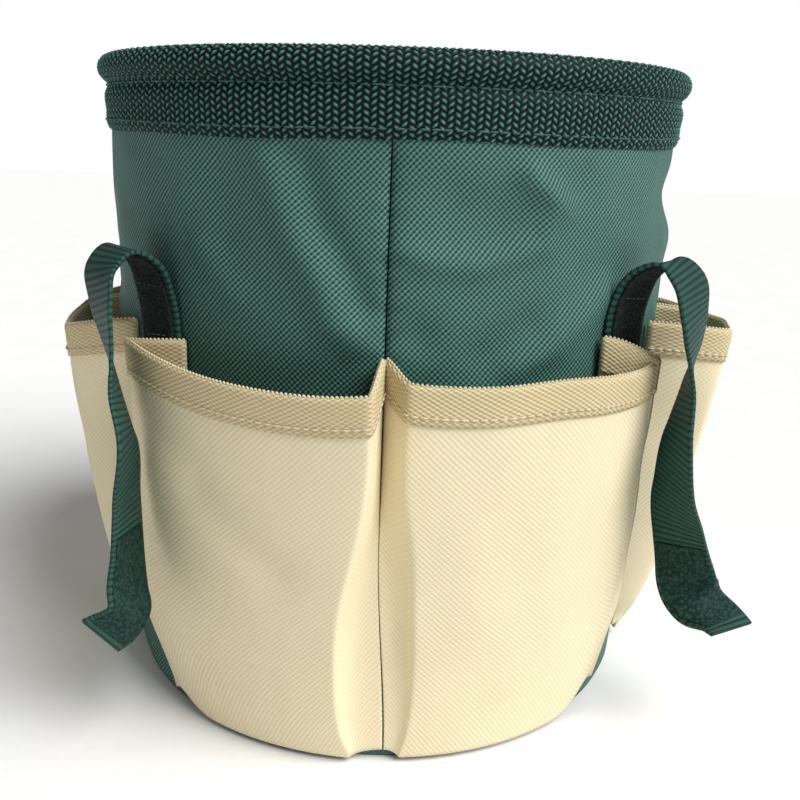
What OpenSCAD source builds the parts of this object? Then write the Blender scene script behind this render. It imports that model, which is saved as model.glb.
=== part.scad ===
// Round garden tool bag: a self-standing fabric bucket with eight bellows
// pockets round the outside and two webbing tool straps.
// Millimetres. The base stands on z = 0 with its centre at the origin, and the
// front seam faces -Y. Angles round the bag start at the front seam and grow
// towards +X. Positions beside the bag are given as a radius and a height.

/* [Body] */
// Outer diameter over the rolled rim
rim_d = 260; // [256:1:290]
// Overall height
bag_h = 276; // [270:1:340]
// Outer diameter of the fabric body at its base
base_d = 245; // [236:1:247]
// How far the fabric body swells at half height
belly = 2; // [0:0.5:3]
// Thickness of the coated body fabric
fabric_t = 1.6; // [1:0.1:1.8]
// Depth of the seam allowance inside the bag
allowance = 9; // [6:0.5:12]

/* [Rim] */
// Radius of the rolled rim's section
roll_r = 5.5; // [5:0.25:6]
// Radius of the springy hoop inside the roll
hoop_r = 3.2; // [2:0.1:3.4]
// Thickness of the rim webbing
webbing_t = 1.8; // [1.2:0.1:2.2]
// Height of the outer leg, from the top of the rim
outer_leg = 30; // [24:1:40]
// Height of the inner leg, from the top of the rim
inner_leg = 22; // [18:1:30]

/* [Base] */
// Thickness of the stiffener board
board_t = 2.5; // [1.5:0.1:3]
// Thickness of the lining over the board
lining_t = 1; // [0.6:0.1:1.5]
// Height of the base panel's turned-up edge
turn_up = 6; // [5:0.5:8]

/* [Pockets] */
// Height of the pocket mouths above the ground
mouth_z = 168; // [120:1:185]
// How far a mouth stands out from the body
pocket_depth = 27; // [15:1:34]
// Angle that one pocket covers
pocket_span = 37; // [30:0.5:38]
// Thickness of the pocket canvas
canvas_t = 1.4; // [0.8:0.1:1.8]
// Height of the folded tape on a mouth
tape_h = 13; // [8:1:20]
// Thickness of that tape
tape_t = 0.8; // [0.5:0.1:1.2]

/* [Straps] */
// Angle of the straps from the front seam
strap_at = 45; // [45:0.25:46]
// Width of the strap webbing
strap_w = 25; // [16:1:26]
// Thickness of the strap webbing
strap_t = 1.8; // [1.2:0.1:2.2]
// Height of the strap's lower stitched end
strap_root_z = 140; // [125:1:150]
// Height of the centre of the strap's bend
strap_bend_z = 195; // [194:1:210]
// Outer radius of that bend
strap_bend_r = 13.3; // [12.5:0.1:15]
// Height of the strap's free end
strap_end_z = 40; // [25:1:70]

/* [Hidden] */
$fn = 96;

body_green = "#3f6a60";
webbing_green = "#1d4a42";
strap_green = "#1e5a50";
patch_green = "#16302b";
canvas_cream = "#e9d9b2";
tape_tan = "#c3ae82";
board_grey = "#55585a";

clear = 0.3;                            // gap between neighbouring layers
panel_floor = 0.4;                      // body panels stop just above the ground
roll_at = rim_d / 2 - roll_r;           // radius of the roll's centre line
roll_z = bag_h - roll_r;
body_top_r = roll_at + fabric_t / 2;    // the wall stands centred under the hoop
body_top_z = roll_z - roll_r - 0.5;
band_z = bag_h - outer_leg;
base_r = base_d / 2;
inner_base_r = base_r - fabric_t - clear;
seam_gap = 0.1;                         // degrees between the two panels
allowance_ang = 0.6;                    // degrees that one seam allowance is thick
binding_ang = 0.6;                      // degrees that one leg of the seam binding is thick
seam_low_z = 12;
seam_high_z = bag_h - inner_leg - 4;
profile_steps = 12;

// Outer radius of the fabric body at height z
function body_r(z) =
    z >= band_z ? body_top_r
    : base_r + (body_top_r - base_r) * z / band_z + belly * sin(180 * z / band_z);

// Closed outline of a layer of the body wall between two heights, given by its
// depths below the outer surface
function wall_outline(z0, z1, deep0, deep1) = concat(
    [for (i = [0:profile_steps]) let (z = z0 + (z1 - z0) * i / profile_steps) [body_r(z) - deep0, z]],
    [for (i = [profile_steps:-1:0]) let (z = z0 + (z1 - z0) * i / profile_steps) [body_r(z) - deep1, z]]
);

// Turns an outline through an angle, from one place round the bag
module turned(from, ang) {
    rotate([0, 0, from - 90]) rotate_extrude(angle = ang, $fn = 180) children();
}

// Half of the body wall with its two inward seam allowances
module body_half(from) {
    color(body_green) union() {
        turned(from + seam_gap, 180 - 2 * seam_gap)
            polygon(wall_outline(panel_floor, body_top_z, 0, fabric_t));
        for (at = [from + seam_gap, from + 180 - seam_gap - allowance_ang])
            turned(at, allowance_ang)
                polygon(wall_outline(seam_low_z, seam_high_z, fabric_t / 2, fabric_t + allowance));
    }
}

// Tape folded over both allowances of one vertical seam
module seam_binding(at) {
    hollow = allowance_ang + seam_gap + 0.1;
    color(webbing_green) difference() {
        turned(at - hollow - binding_ang, 2 * (hollow + binding_ang))
            polygon(wall_outline(seam_low_z + 1, seam_high_z - 1, fabric_t + 1, fabric_t + allowance + 1.6));
        turned(at - hollow, 2 * hollow)
            polygon(wall_outline(seam_low_z - 1, seam_high_z + 1, 0, fabric_t + allowance + clear));
    }
}

module base_panel() {
    edge_t = 1.5;
    color(body_green) difference() {
        cylinder(r = inner_base_r, h = turn_up);
        translate([0, 0, edge_t]) cylinder(r = inner_base_r - edge_t, h = turn_up);
    }
}

module base_board() {
    color(board_grey) translate([0, 0, 1.7]) cylinder(r = inner_base_r - 2, h = board_t);
}

module base_lining() {
    color(body_green) translate([0, 0, 1.9 + board_t]) cylinder(r = inner_base_r - 2, h = lining_t);
}

// Tape bead that binds the raw edge of the base seam
module base_seam_binding() {
    bead = 3;
    color(webbing_green) rotate_extrude() translate([inner_base_r - bead, turn_up + 0.2]) {
        square([bead, bead / 2]);
        translate([bead / 2, bead / 2]) circle(r = bead / 2, $fn = 32);
    }
}

module rim_hoop() {
    color(board_grey) rotate_extrude() translate([roll_at, roll_z]) circle(r = hoop_r, $fn = 48);
}

// Webbing folded over the hoop and down both faces of the wall
module rim_binding() {
    face_gap = 0.2;
    outer_in = body_top_r + face_gap;
    inner_out = body_top_r - fabric_t - face_gap;
    color(webbing_green) rotate_extrude() {
        difference() {
            translate([roll_at, roll_z]) circle(r = roll_r, $fn = 64);
            translate([roll_at, roll_z]) circle(r = roll_r - webbing_t, $fn = 64);
        }
        difference() {
            union() {
                translate([outer_in, band_z]) square([webbing_t, roll_z - band_z]);
                translate([inner_out - webbing_t, bag_h - inner_leg])
                    square([webbing_t, roll_z - bag_h + inner_leg]);
            }
            translate([roll_at, roll_z]) circle(r = roll_r - webbing_t / 2, $fn = 64);
        }
    }
}

// --- Bellows pockets -------------------------------------------------------

pocket_floor = 4;           // height of the pocket's bottom seam
pocket_steps = 16;          // along the mouth
pocket_rows = 8;            // up the pocket
squareness = 4;             // exponent that squares off the pocket's plan
fullness = 0.6;             // how early the pocket swells above its bottom seam
first_pocket = 1;           // angle from the seam to the first pocket's side

function signed_pow(v, e) = sign(v) * pow(abs(v), e);
function swell(z) = pocket_depth * pow(z / mouth_z, fullness);

// A point on a pocket's face: u runs from one side to the other, and off is
// the distance outside the face
function pocket_point(middle, z, u, off) =
    let (
        half = pocket_span / 2 + (off * 180 / PI) / body_top_r,
        round = 2 / squareness,
        ang = middle + half * signed_pow(cos(180 * u), round),
        r = body_r(z) + clear + (swell(z) + off) * pow(abs(sin(180 * u)), round)
    )
    [r * sin(ang), -r * cos(ang), z];

function quad(a, b, c, d) = [[a, b, c], [a, c, d]];

// Triangles of a tube whose section has m points and which is swept over n rings
function sweep_sides(m, n) = [
    for (i = [0:n - 2], j = [0:m - 1])
        let (k = (j + 1) % m)
            each quad(i * m + j, (i + 1) * m + j, (i + 1) * m + k, i * m + k)
];

// Canvas wall of one pocket: every ring runs up the outer face and down the inner
module pocket_wall(middle) {
    ring = 2 * (pocket_rows + 1);
    function height(j) = pocket_floor + (mouth_z - pocket_floor) * j / pocket_rows;
    points = [
        for (i = [0:pocket_steps]) each concat(
            [for (j = [0:pocket_rows]) pocket_point(middle, height(j), i / pocket_steps, 0)],
            [for (j = [pocket_rows:-1:0]) pocket_point(middle, height(j), i / pocket_steps, -canvas_t)]
        )
    ];
    last = pocket_steps * ring;
    ends = [
        for (j = [0:pocket_rows - 1]) each concat(
            quad(j, j + 1, ring - 2 - j, ring - 1 - j),
            quad(last + ring - 1 - j, last + ring - 2 - j, last + j + 1, last + j)
        )
    ];
    color(canvas_cream) polyhedron(concat(points), concat(sweep_sides(ring, pocket_steps + 1), ends), 4);
}

// Tape folded over the mouth of one pocket
module mouth_tape(middle) {
    near = 0.1;
    far = near + tape_t;
    low = mouth_z - tape_h;
    section = [
        [far, low], [far, mouth_z + far], [-canvas_t - far, mouth_z + far], [-canvas_t - far, low],
        [-canvas_t - near, low], [-canvas_t - near, mouth_z + near], [near, mouth_z + near], [near, low]
    ];
    points = [
        for (i = [0:pocket_steps], p = section)
            let (on_face = pocket_point(middle, min(p[1], mouth_z), i / pocket_steps, p[0]))
                [on_face[0], on_face[1], p[1]]
    ];
    last = pocket_steps * 8;
    function cap(o) = concat(
        quad(o + 0, o + 1, o + 6, o + 7), quad(o + 1, o + 2, o + 5, o + 6), quad(o + 2, o + 3, o + 4, o + 5)
    );
    function flipped(faces) = [for (f = faces) [f[2], f[1], f[0]]];
    color(tape_tan)
        polyhedron(points, concat(sweep_sides(8, pocket_steps + 1), cap(0), flipped(cap(last))), 4);
}

// The eight pockets come in four pairs, and each pair shares one dividing seam
function pocket_middle(pair, hand) = pair + hand * (first_pocket + pocket_span / 2);

// --- Tool straps -----------------------------------------------------------

strap_in = body_r(band_z / 2) + belly / 2 + clear;      // inner face of the standing part
bend_at = strap_in + strap_bend_r;                      // radius of the bend's centre
bend_in = strap_bend_r - strap_t;
tail_lean = 5;                                          // how far the free end stands out
knuckle_z = strap_bend_z - 20;                          // where the tail starts to lean
patch_t = 1.4;
patch_w = 0.8 * strap_w;

// Extrudes an outline of radii and heights across the strap's width
module across(side, w) {
    rotate([0, 0, side * strap_at - 90]) rotate([90, 0, 0]) linear_extrude(w, center = true) children();
}

module bend_quarter(outward) {
    translate([bend_at, strap_bend_z]) intersection() {
        difference() {
            circle(r = strap_bend_r);
            circle(r = bend_in);
        }
        translate([outward ? clear / 2 : -2 * strap_bend_r - clear / 2, 0]) square(2 * strap_bend_r);
    }
}

// Outline of a strip along the tail, between two heights and two depths from
// its inner face
function tail_strip(z0, z1, d0, d1) =
    let (
        out = bend_at + bend_in,
        lean = tail_lean / (knuckle_z - strap_end_z),
        r0 = out + (knuckle_z - z0) * lean,
        r1 = out + (knuckle_z - z1) * lean
    )
    [[r0 + d0, z0], [r0 + d1, z0], [r1 + d1, z1], [r1 + d0, z1]];

// Standing part of a strap, sewn to the wall at its lower end
module strap_root(side) {
    color(strap_green) across(side, strap_w) {
        translate([strap_in, strap_root_z]) square([strap_t, strap_bend_z - strap_root_z]);
        bend_quarter(false);
    }
}

// Free part of a strap, which hangs over the pockets
module strap_tail(side) {
    color(strap_green) across(side, strap_w) {
        bend_quarter(true);
        translate([bend_at + bend_in, knuckle_z]) square([strap_t, strap_bend_z - knuckle_z]);
        polygon(tail_strip(strap_end_z, knuckle_z, 0, strap_t));
    }
}

module loop_patch(side) {
    patch_low = strap_root_z + 30;
    color(patch_green) across(side, patch_w)
        translate([strap_in + strap_t + 0.1, patch_low]) square([patch_t, strap_bend_z - 2 - patch_low]);
}

module hook_patch(side) {
    color(patch_green) across(side, patch_w)
        polygon(tail_strip(strap_end_z + 10, strap_end_z + 60, -0.1 - patch_t, -0.1));
}

body_half(180);  // body_panel_left
body_half(0);  // body_panel_right
seam_binding(0);  // front_seam_binding
seam_binding(180);  // back_seam_binding
base_panel();
base_board();
base_lining();
base_seam_binding();
rim_hoop();
rim_binding();
pocket_wall(pocket_middle(0, -1));  // pocket_front_left
pocket_wall(pocket_middle(0, 1));  // pocket_front_right
pocket_wall(pocket_middle(90, -1));  // pocket_side_right_fore
pocket_wall(pocket_middle(90, 1));  // pocket_side_right_aft
pocket_wall(pocket_middle(-90, 1));  // pocket_side_left_fore
pocket_wall(pocket_middle(-90, -1));  // pocket_side_left_aft
pocket_wall(pocket_middle(180, -1));  // pocket_rear_right
pocket_wall(pocket_middle(180, 1));  // pocket_rear_left
mouth_tape(pocket_middle(0, -1));  // tape_front_left
mouth_tape(pocket_middle(0, 1));  // tape_front_right
mouth_tape(pocket_middle(90, -1));  // tape_side_right_fore
mouth_tape(pocket_middle(90, 1));  // tape_side_right_aft
mouth_tape(pocket_middle(-90, 1));  // tape_side_left_fore
mouth_tape(pocket_middle(-90, -1));  // tape_side_left_aft
mouth_tape(pocket_middle(180, -1));  // tape_rear_right
mouth_tape(pocket_middle(180, 1));  // tape_rear_left
strap_root(-1);  // strap_left_root
strap_tail(-1);  // strap_left_tail
strap_root(1);  // strap_right_root
strap_tail(1);  // strap_right_tail
loop_patch(-1);  // loop_patch_left
hook_patch(-1);  // hook_patch_left
loop_patch(1);  // loop_patch_right
hook_patch(1);  // hook_patch_right
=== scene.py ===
"""Looks of a round garden tool bag: a fabric bucket with bellows pockets and two webbing tool straps.

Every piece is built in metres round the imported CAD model. Angles are degrees from the front seam,
which faces -Y, and grow towards +X. Heights and radii in the classes are millimetres.
"""

import logging
import math
from dataclasses import dataclass
from enum import Enum

import bpy
import numpy as np
from mathutils import Matrix


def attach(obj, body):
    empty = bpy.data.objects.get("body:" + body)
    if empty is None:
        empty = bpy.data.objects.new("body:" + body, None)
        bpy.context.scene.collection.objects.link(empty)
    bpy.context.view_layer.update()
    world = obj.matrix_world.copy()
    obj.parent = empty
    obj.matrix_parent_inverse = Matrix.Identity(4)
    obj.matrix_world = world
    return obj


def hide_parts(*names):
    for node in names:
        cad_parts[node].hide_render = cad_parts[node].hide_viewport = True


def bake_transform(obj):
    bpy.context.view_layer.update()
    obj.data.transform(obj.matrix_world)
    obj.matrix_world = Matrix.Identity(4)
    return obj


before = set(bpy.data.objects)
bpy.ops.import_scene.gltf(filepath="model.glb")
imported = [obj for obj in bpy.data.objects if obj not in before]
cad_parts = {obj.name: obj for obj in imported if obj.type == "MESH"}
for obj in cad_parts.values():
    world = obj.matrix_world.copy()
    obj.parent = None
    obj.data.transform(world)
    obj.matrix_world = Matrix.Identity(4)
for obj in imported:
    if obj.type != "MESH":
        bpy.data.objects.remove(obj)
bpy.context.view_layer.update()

MM = 0.001
UV_NAME = "Weave"
LOG = logging.getLogger("garden_tool_bag")

Knots = tuple[tuple[float, float], ...]
Input = bpy.types.Node | bpy.types.NodeSocket | float | tuple


# --- Small helpers ---------------------------------------------------------


def linear(colour: str) -> tuple[float, float, float, float]:
    """Turns an sRGB colour, "#rrggbb", into linear RGBA with an alpha of 1."""
    parts = [int(colour[i : i + 2], 16) / 255 for i in (1, 3, 5)]
    return (*(c / 12.92 if c <= 0.04045 else ((c + 0.055) / 1.055) ** 2.4 for c in parts), 1.0)


def add(
    tree: bpy.types.NodeTree, kind: str, inputs: dict[str | int, Input] | None = None, **settings: object
) -> bpy.types.Node:
    """Adds one node with its settings, and sets or links its inputs.

    Args:
        tree: the node tree that gets the node.
        kind: Blender's name for the kind of node, without its first word, ShaderNode.
        inputs: a value, a node whose first output is meant, or a socket, for each input.
        settings: the node's own properties.

    Returns:
        The new node.
    """
    node = tree.nodes.new(f"ShaderNode{kind}")
    for key, value in settings.items():
        setattr(node, key, value)
    for key, value in (inputs or {}).items():
        source = value.outputs[0] if isinstance(value, bpy.types.Node) else value
        if isinstance(source, bpy.types.NodeSocket):
            tree.links.new(source, node.inputs[key])
        else:
            node.inputs[key].default_value = source
    return node


def smooth(knots: Knots, x: np.ndarray) -> np.ndarray:
    """Reads a smooth curve through a few knots.

    Args:
        knots: pairs of place and value, in rising order of place.
        x: where to read the curve; beyond the ends it keeps the end value.

    Returns:
        The curve's value at every x.
    """
    at, value = (np.array(column, float) for column in zip(*knots))
    slope = np.gradient(value, at)
    slope[0] = slope[-1] = 0
    x = np.clip(np.asarray(x, float), at[0], at[-1])
    i = np.clip(np.searchsorted(at, x) - 1, 0, len(at) - 2)
    h = at[i + 1] - at[i]
    t = (x - at[i]) / h
    return (
        (1 + 2 * t) * (1 - t) ** 2 * value[i]
        + t * (1 - t) ** 2 * h * slope[i]
        + t**2 * (3 - 2 * t) * value[i + 1]
        - t**2 * (1 - t) * h * slope[i + 1]
    )


def step(x: np.ndarray, low: float, high: float) -> np.ndarray:
    """Rises smoothly from 0 at low to 1 at high, or falls where high is the smaller."""
    t = np.clip((x - low) / (high - low), 0, 1)
    return t * t * (3 - 2 * t)


def soft_noise(seed: int, x: np.ndarray, y: np.ndarray, size: float) -> np.ndarray:
    """Gentle random waves, the same on every run.

    Args:
        seed: which pattern.
        x: first coordinate, in millimetres.
        y: second coordinate, in millimetres.
        size: the shortest wavelength, in millimetres.

    Returns:
        Heights of about -1 to 1.
    """
    rng = np.random.default_rng(seed)
    total = np.zeros(np.broadcast(x, y).shape)
    waves = 7
    for _ in range(waves):
        turn, phase, length = rng.uniform(0, 2 * np.pi), rng.uniform(0, 2 * np.pi), size * rng.uniform(1, 2.2)
        total += np.sin((x * np.cos(turn) + y * np.sin(turn)) * 2 * np.pi / length + phase)
    return total / np.sqrt(waves * 2)


def polar(angle: np.ndarray | float, radius: np.ndarray | float, height: np.ndarray | float) -> np.ndarray:
    """Points in millimetres from angles in degrees, radii and heights."""
    turn = np.radians(angle)
    return np.stack(np.broadcast_arrays(radius * np.sin(turn), -radius * np.cos(turn), height), -1)


def lengths(points: np.ndarray) -> np.ndarray:
    """Distance travelled at each point of a line of points."""
    return np.concatenate([[0], np.cumsum(np.linalg.norm(np.diff(points, axis=0), axis=1))])


# --- Finishes --------------------------------------------------------------


@dataclass(frozen=True)
class Finish:
    """What every finish has: a name, two tones that its relief mixes, and how it takes the light. In the woven and
    ribbed finishes these are partly the threads' own tones and partly painted shade in the hollows and painted
    highlight on the crests.

    Woven and sewn finishes read the UV map "Weave", which is in metres along the threads.
    """

    name: str
    dark: str
    light: str
    roughness: float = 0.75
    relief_mm: float = 0.3
    sheen: float = 0.0
    specular: float = 0.5
    mottle: float = 0.25
    mottle_size_mm: float = 45

    def height(self, tree: bpy.types.NodeTree, uv: bpy.types.NodeSocket) -> bpy.types.Node:
        """Adds the nodes of the surface's relief, from 0 in its gaps to 1 on its crests."""
        raise NotImplementedError

    def material(self) -> bpy.types.Material:
        """Makes the material, or finds it where an earlier piece made it."""
        made = bpy.data.materials.get(self.name)
        if made:
            return made
        made = bpy.data.materials.new(self.name)
        made.use_nodes = True
        tree = made.node_tree
        tree.nodes.clear()
        uv = add(tree, "UVMap", uv_map=UV_NAME).outputs[0]
        relief = self.height(tree, uv)
        place = add(tree, "TexCoord").outputs["Object"]
        patches = add(
            tree, "TexNoise",
            {"Vector": place, "Scale": 1 / (self.mottle_size_mm * MM), "Detail": 4.0, "Roughness": 0.6},
        )
        # Darker in the relief's hollows and lighter on its crests: in the woven and ribbed finishes partly the
        # threads' own tones, partly painted shade and painted highlight.
        thread = add(tree, "MixRGB", {"Fac": relief, "Color1": linear(self.dark), "Color2": linear(self.light)})
        shade = add(
            tree, "MapRange",
            {"Value": patches, "From Min": 0.3, "From Max": 0.7, "To Min": 1 - self.mottle, "To Max": 1.0},
        )
        tone = add(tree, "MixRGB", {"Fac": 1.0, "Color1": thread, "Color2": shade}, blend_type="MULTIPLY")
        gloss = add(
            tree, "MapRange",
            {"Value": relief, "To Min": min(1.0, self.roughness + 0.12), "To Max": self.roughness},
        )
        bump = add(tree, "Bump", {"Height": relief, "Distance": self.relief_mm * MM, "Strength": 1.0})
        shader = add(
            tree, "BsdfPrincipled",
            {
                "Base Color": tone, "Roughness": gloss, "Normal": bump, "IOR": 1.5,
                "Specular IOR Level": self.specular, "Sheen Weight": self.sheen, "Sheen Roughness": 0.5,
                "Sheen Tint": linear(self.light),
            },
        )
        add(tree, "OutputMaterial", {"Surface": shader})
        made.diffuse_color = linear(self.light)
        return made


@dataclass(frozen=True)
class PlainWeave(Finish):
    """Plain woven cloth: warp and weft cross over in a checker of small bumps."""

    pitch_mm: float = 2.1
    wander: float = 0.12
    stretch: float = 1.0
    twill: float = 0.0

    def height(self, tree: bpy.types.NodeTree, uv: bpy.types.NodeSocket) -> bpy.types.Node:
        """Adds the nodes of the woven checker, with threads that wander a little."""
        drift = add(tree, "TexNoise", {"Vector": uv, "Scale": 1 / (7 * MM), "Detail": 2.0})
        centred = add(tree, "VectorMath", {0: drift.outputs["Color"], 1: (0.5, 0.5, 0.5)}, operation="SUBTRACT")
        shift = add(
            tree, "VectorMath", {0: centred, "Scale": 2 * self.wander * self.pitch_mm * MM},
            operation="SCALE",
        )
        moved = add(tree, "VectorMath", {0: uv, 1: shift}, operation="ADD")
        turns = 2 * math.pi / (self.pitch_mm * MM)
        phase = add(tree, "VectorMath", {0: moved, 1: (turns, turns * self.stretch, 0.0)}, operation="MULTIPLY")
        crossings = []
        for wave in ("SINE", "COSINE"):
            turned = add(tree, "VectorMath", {0: phase}, operation=wave)
            parts = add(tree, "SeparateXYZ", {0: turned})
            crossings.append(
                add(tree, "Math", {0: parts.outputs[0], 1: parts.outputs[1]}, operation="MULTIPLY")
            )
        leaning = add(tree, "Math", {0: crossings[1], 1: self.twill, 2: crossings[0]}, operation="MULTIPLY_ADD")
        return add(tree, "MapRange", {"Value": leaning, "From Min": -0.8, "From Max": 0.8})


@dataclass(frozen=True)
class RibbedTape(Finish):
    """Ribbed narrow fabric: rounded ribs across it, crossed by fine binding threads."""

    rib_mm: float = 2.5
    fine_mm: float = 1.0
    fine_share: float = 0.25

    def height(self, tree: bpy.types.NodeTree, uv: bpy.types.NodeSocket) -> bpy.types.Node:
        """Adds the nodes of the ribs and of the fine threads that bind them."""
        parts = add(tree, "SeparateXYZ", {0: uv})
        waves = []
        for axis, pitch in ((1, self.rib_mm), (0, self.fine_mm)):
            turns = add(tree, "Math", {0: parts.outputs[axis], 1: math.pi / (pitch * MM)}, operation="MULTIPLY")
            sine = add(tree, "Math", {0: turns}, operation="SINE")
            waves.append(add(tree, "Math", {0: sine}, operation="ABSOLUTE"))
        return add(tree, "MixRGB", {"Fac": self.fine_share, "Color1": waves[0], "Color2": waves[1]})


@dataclass(frozen=True)
class ChevronTape(Finish):
    """Heavy rim webbing: columns of short slanting floats that lean left and right in turn."""

    column_mm: float = 2.5
    row_mm: float = 2.3
    slant: float = 0.6
    sharpness: float = 1.9

    def crest(self, across_mm: np.ndarray, along_mm: np.ndarray) -> np.ndarray:
        """Height of the floats for the mesh, from 0 to 1, in the pattern that the material draws."""
        column = across_mm / self.column_mm
        inside = column - np.floor(column)
        lean = np.where(np.floor(column) % 2 == 0, 1.0, -1.0)
        phase = along_mm / self.row_mm + (self.slant * (inside - 0.5) - 0.25) * lean
        return ((0.5 + 0.5 * np.sin(2 * np.pi * phase)) * np.sin(np.pi * inside)) ** self.sharpness

    def height(self, tree: bpy.types.NodeTree, uv: bpy.types.NodeSocket) -> bpy.types.Node:
        """Adds the nodes of the leaning floats."""
        parts = add(tree, "SeparateXYZ", {0: uv})
        column = add(tree, "Math", {0: parts.outputs[0], 1: 1 / (self.column_mm * MM)}, operation="MULTIPLY")
        inside = add(tree, "Math", {0: column}, operation="FRACT")
        whole = add(tree, "Math", {0: column}, operation="FLOOR")
        odd = add(tree, "Math", {0: whole, 1: 2.0}, operation="FLOORED_MODULO")
        lean = add(tree, "MapRange", {"Value": odd, "To Min": 1.0, "To Max": -1.0})
        slope = add(tree, "Math", {0: inside, 1: self.slant, 2: -0.5 * self.slant - 0.25}, operation="MULTIPLY_ADD")
        shear = add(tree, "Math", {0: slope, 1: lean}, operation="MULTIPLY")
        row = add(tree, "Math", {0: parts.outputs[1], 1: 1 / (self.row_mm * MM), 2: shear}, operation="MULTIPLY_ADD")
        turns = add(tree, "Math", {0: row, 1: 2 * math.pi}, operation="MULTIPLY")
        wave = add(tree, "Math", {0: turns}, operation="SINE")
        float_height = add(tree, "MapRange", {"Value": wave, "From Min": -1.0})
        half_turn = add(tree, "Math", {0: inside, 1: math.pi}, operation="MULTIPLY")
        crown = add(tree, "Math", {0: half_turn}, operation="SINE")
        rounded = add(tree, "Math", {0: float_height, 1: crown}, operation="MULTIPLY")
        return add(tree, "Math", {0: rounded, 1: self.sharpness}, operation="POWER")


@dataclass(frozen=True)
class Grained(Finish):
    """A surface with an all-over grain: pile, hooks, thread, board or wire."""

    grain_mm: float = 1.0
    cells: bool = False

    def height(self, tree: bpy.types.NodeTree, uv: bpy.types.NodeSocket) -> bpy.types.Node:
        """Adds the nodes of the grain, as cells for hooks and loops or as noise."""
        place = add(tree, "TexCoord").outputs["Object"]
        scale = 1 / (self.grain_mm * MM)
        if self.cells:
            spots = add(tree, "TexVoronoi", {"Vector": place, "Scale": scale})
            return add(tree, "MapRange", {"Value": spots, "From Max": 0.7, "To Min": 1.0, "To Max": 0.0})
        return add(tree, "TexNoise", {"Vector": place, "Scale": scale, "Detail": 4.0})


# 600-denier oxford polyester, coated on the back. The checker shows as the cloth's diagonal glint, painted into the
# colour: its light tone is partly painted highlight and its dark tone partly painted shade in the gaps between
# threads. Real threads lie about 0.5 mm apart; they are drawn twice as coarse, so that they show.
BODY_OXFORD = PlainWeave(
    "coated oxford polyester, green", "#153029", "#5e9286", roughness=0.5, relief_mm=0.38,
    specular=0.3, mottle=0.12, pitch_mm=2.15, twill=0.4,
)
# The same cloth's uncoated tone on the panel that carries the board.
BASE_OXFORD = PlainWeave(
    "coated oxford polyester, base", "#22403a", "#4b7268", roughness=0.65, relief_mm=0.3, mottle=0.2,
    pitch_mm=2.1,
)
# Polyester canvas in a tighter plain weave, which reads as fine diagonal lines in raking light.
# Real threads lie about 0.6 mm apart; they are drawn twice as coarse, so that they show.
POCKET_CANVAS = PlainWeave(
    "polyester canvas, cream", "#e5d6ae", "#f1e6c8", roughness=0.75, relief_mm=0.09, specular=0.3,
    mottle=0.05, pitch_mm=2.4, wander=0.08, twill=-0.5,
)
# Thick polypropylene webbing, loosely woven, with glossy filaments. The near-black tone in the gaps between floats
# is painted shade, and the light tone on the crests is partly painted highlight.
RIM_WEBBING = ChevronTape(
    "polypropylene webbing, chevron", "#010706", "#63a092", roughness=0.45, relief_mm=0.6, mottle=0.2,
    specular=0.15,
)
# Flat polypropylene strap webbing with pronounced ribs across it. Its dark tone in the valleys between ribs is
# partly painted shade, and its light tone on the ribs partly painted highlight.
STRAP_WEBBING = RibbedTape(
    "polypropylene webbing, ribbed", "#081f1c", "#335a51", roughness=0.45, relief_mm=0.5, mottle=0.15,
    specular=0.15, rib_mm=2.5, fine_mm=1.2,
)
# Polyester braid, tan, folded over the pocket mouths; its plump threads lie like small bricks. Its darker tone
# between the threads is partly painted shade.
MOUTH_TAPE = PlainWeave(
    "polyester braid, tan", "#bda97a", "#e3d5b0", roughness=0.75, relief_mm=0.22, specular=0.3, mottle=0.08,
    pitch_mm=3.0, stretch=1.8, wander=0.05, twill=-0.25,
)
# Narrow woven tape that binds the inside seams.
SEAM_TAPE = RibbedTape(
    "polyester seam tape, dark green", "#122f2a", "#2d554c", roughness=0.7, relief_mm=0.25, rib_mm=1.2,
    fine_mm=1.0, fine_share=0.3,
)
# Bonded polyester sewing thread, slightly waxy.
CREAM_THREAD = Grained("bonded polyester thread, cream", "#d3c294", "#f5ecd4", roughness=0.55, grain_mm=0.5)
GREEN_THREAD = Grained("bonded polyester thread, green", "#1c3f38", "#4a7a6f", roughness=0.55, grain_mm=0.5)
# Knitted nylon loop pile, which swallows light.
LOOP_PILE = Grained(
    "nylon loop pile", "#0b1715", "#263b36", roughness=0.95, relief_mm=0.6, sheen=0.1, grain_mm=1.3, cells=True
)
# Moulded nylon hook tape, a close field of small stiff hooks with a dull shine.
HOOK_TAPE = Grained(
    "nylon hook tape", "#14302b", "#35584f", roughness=0.6, relief_mm=0.25, specular=0.15, grain_mm=1.5, cells=True
)
# Polyethylene board and sprung steel wire, both hidden inside the cloth.
BOARD = Grained("polyethylene board, grey", "#4a4d4f", "#63676a", roughness=0.5, relief_mm=0.05, grain_mm=3)
HOOP = Grained("spring steel hoop, coated", "#4b4f51", "#6d7274", roughness=0.4, relief_mm=0.03, grain_mm=2)
# Matt seamless floor.
FLOOR = Grained(
    "matt studio floor", "#f4f4f3", "#fafaf9", roughness=0.95, relief_mm=0.05, mottle=0.03, grain_mm=4,
    specular=0.1,
)


# --- Meshes ----------------------------------------------------------------


def mesh_object(name: str, points: np.ndarray, faces: list, finish: Finish) -> bpy.types.Object:
    """Makes a smooth mesh object in one material, with an empty weave map.

    Args:
        name: the object's name.
        points: its points, in millimetres.
        faces: the points of each face.
        finish: what it is made of.

    Returns:
        The new object, in metres.
    """
    mesh = bpy.data.meshes.new(name)
    mesh.from_pydata((points.reshape(-1, 3) * MM).tolist(), [], faces)
    mesh.uv_layers.new(name=UV_NAME)
    mesh.polygons.foreach_set("use_smooth", np.ones(len(faces), bool))
    mesh.materials.append(finish.material())
    made = bpy.data.objects.new(name, mesh)
    bpy.context.scene.collection.objects.link(made)
    return made


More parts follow.
